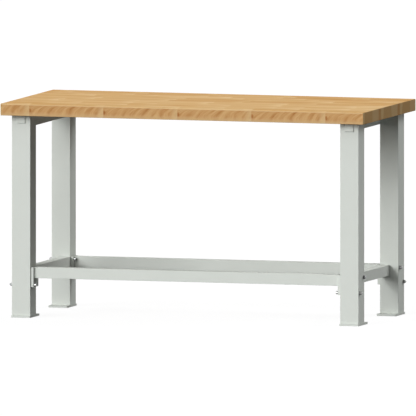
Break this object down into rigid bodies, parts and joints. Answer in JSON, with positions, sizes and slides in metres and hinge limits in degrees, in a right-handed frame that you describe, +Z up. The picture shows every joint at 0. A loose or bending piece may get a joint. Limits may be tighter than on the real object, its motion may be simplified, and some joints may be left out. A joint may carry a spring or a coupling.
{
  "type": "workbench",
  "caption": "Heavy-duty workbench: thick solid-wood worktop on a grey welded steel frame with square legs, foot plates, cross members and bolted-on lower stretchers.",
  "frame": {"origin": "on the floor, under the middle of the worktop", "axes": "+X along the worktop to the right, +Y to the rear, away from the worker, +Z up"},
  "size_m": [1.5, 0.7, 0.85],
  "materials": {
    "beech": "oiled, satin, laminated staves",
    "grey_paint": "fine powder coat, light grey, satin",
    "zinc": "bright zinc plate"
  },
  "bodies": {
    "root": {"worktop": "beech", "leg_front_left": "grey_paint", "leg_front_right": "grey_paint", "leg_rear_left": "grey_paint", "leg_rear_right": "grey_paint", "foot_plate_front_left": "grey_paint", "foot_plate_front_right": "grey_paint", "foot_plate_rear_left": "grey_paint", "foot_plate_rear_right": "grey_paint", "stretcher_bracket_front_left": "grey_paint", "stretcher_bracket_front_right": "grey_paint", "stretcher_bracket_rear_left": "grey_paint", "stretcher_bracket_rear_right": "grey_paint", "stretcher_front": "grey_paint", "stretcher_rear": "grey_paint", "lower_cross_tube_left": "grey_paint", "lower_cross_tube_right": "grey_paint", "upper_cross_angle_left": "grey_paint", "upper_cross_angle_right": "grey_paint", "top_strap_left": "grey_paint", "top_strap_right": "grey_paint", "bracket_screw_front_left_upper": "zinc", "bracket_screw_front_left_lower": "zinc", "bracket_screw_front_right_upper": "zinc", "bracket_screw_front_right_lower": "zinc", "bracket_screw_rear_left_upper": "zinc", "bracket_screw_rear_left_lower": "zinc", "bracket_screw_rear_right_upper": "zinc", "bracket_screw_rear_right_lower": "zinc", "bracket_washer_front_left_upper": "zinc", "bracket_washer_front_left_lower": "zinc", "bracket_washer_front_right_upper": "zinc", "bracket_washer_front_right_lower": "zinc", "bracket_washer_rear_left_upper": "zinc", "bracket_washer_rear_left_lower": "zinc", "bracket_washer_rear_right_upper": "zinc", "bracket_washer_rear_right_lower": "zinc", "bracket_nut_front_left_upper": "zinc", "bracket_nut_front_left_lower": "zinc", "bracket_nut_front_right_upper": "zinc", "bracket_nut_front_right_lower": "zinc", "bracket_nut_rear_left_upper": "zinc", "bracket_nut_rear_left_lower": "zinc", "bracket_nut_rear_right_upper": "zinc", "bracket_nut_rear_right_lower": "zinc", "worktop_screw_left_1": "zinc", "worktop_screw_left_2": "zinc", "worktop_screw_left_3": "zinc", "worktop_screw_right_1": "zinc", "worktop_screw_right_2": "zinc", "worktop_screw_right_3": "zinc"}
  },
  "joints": []
}
